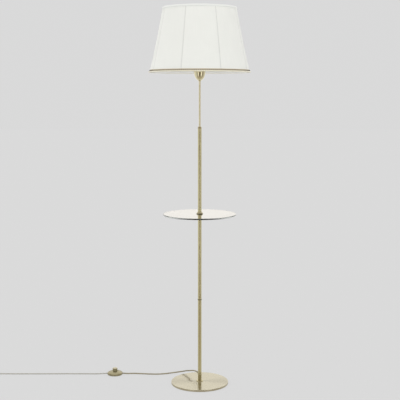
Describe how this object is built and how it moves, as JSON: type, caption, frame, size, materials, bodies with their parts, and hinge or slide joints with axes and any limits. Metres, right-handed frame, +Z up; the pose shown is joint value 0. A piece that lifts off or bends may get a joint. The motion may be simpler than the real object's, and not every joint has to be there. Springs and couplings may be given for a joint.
{
  "type": "floor lamp with table",
  "caption": "Floor lamp with a round clear glass table clamped on its brass pole, a gored fabric shade with gold trim, a round weighted base and a foot switch on the cord.",
  "frame": {"origin": "on the floor, on the pole's axis", "axes": "+Z up the pole; -Y is the front, where the picture is taken from; the cord runs out to -X"},
  "size_m": [1.2534, 0.4266, 1.6],
  "materials": {
    "brushed_brass": "pale brass, brushed in circles",
    "cast_iron": "raw casting",
    "felt": "black felt",
    "zinc_steel": "zinc-plated",
    "satin_brass": "satin",
    "aged_brass": "darkened",
    "pale_brass": "satin",
    "gold_cord": "braided textile",
    "bushing_plastic": "satin",
    "table_glass": "clear, ground edge",
    "soft_washer": "dark soft washer",
    "polished_brass": "polished",
    "holder_insulator": "off-white",
    "cap_aluminium": "bright",
    "opal_glass": "opal",
    "white_wire": "white enamel",
    "shade_cloth": "off-white pleated cloth on a stiff lining",
    "shade_tape": "off-white tape",
    "gold_braid": "dark gold braid",
    "cream_cord": "twisted cream and gold cord",
    "pale_cord": "braided textile",
    "tie_plastic": "black",
    "switch_gold": "gold, satin",
    "switch_black": "black",
    "button_gold": "gold, satin",
    "plug_plastic": "off-white",
    "nickel_pins": "nickel-plated"
  },
  "bodies": {
    "lamp": {"base_cover": "brushed_brass", "base_weight": "cast_iron", "base_pad": "felt", "base_washer": "zinc_steel", "base_screw": "zinc_steel", "foot_collar": "satin_brass", "lower_tube": "satin_brass", "middle_tube": "satin_brass", "upper_tube": "satin_brass", "tube_inserts": "zinc_steel", "joint_collar": "aged_brass", "joint_nipple": "zinc_steel", "tube_cap": "satin_brass", "stem": "pale_brass", "pole_lead": "gold_cord", "cord_bushing": "bushing_plastic", "glass_top": "table_glass", "table_nipple": "zinc_steel", "lower_flange": "satin_brass", "upper_flange": "satin_brass", "lower_gasket": "soft_washer", "upper_gasket": "soft_washer", "socket_cup": "polished_brass", "holder_core": "holder_insulator", "holder_contact": "polished_brass", "holder_sleeve": "holder_insulator", "screw_shell": "polished_brass", "shade_nut": "holder_insulator", "bulb_cap": "cap_aluminium", "bulb_glass": "opal_glass", "shade_top_ring": "white_wire", "shade_bottom_ring": "white_wire", "shade_ribs": "white_wire", "shade_spider": "white_wire", "shade_fabric": "shade_cloth", "shade_top_binding": "shade_tape", "shade_braid": "gold_braid", "shade_cord": "cream_cord", "cord_to_switch": "gold_cord", "cord_to_plug": "pale_cord", "cord_coil": "pale_cord", "cord_tie": "tie_plastic", "switch_cover": "switch_gold", "switch_base": "switch_black", "switch_pad": "felt", "switch_spring": "zinc_steel", "switch_core": "switch_black", "switch_screws": "zinc_steel", "switch_clamps": "switch_black", "plug_body": "plug_plastic", "plug_pins": "nickel_pins"},
    "button": {"switch_button": "button_gold"}
  },
  "joints": [
    {"name": "button_press", "type": "slide", "parent": "lamp", "child": "button", "axis": [0, 0, -1], "range_m": [0, 0.0035], "stiffness_N_per_m": 600, "springref_m": -0.003, "deforming": ["switch_spring"]}
  ]
}
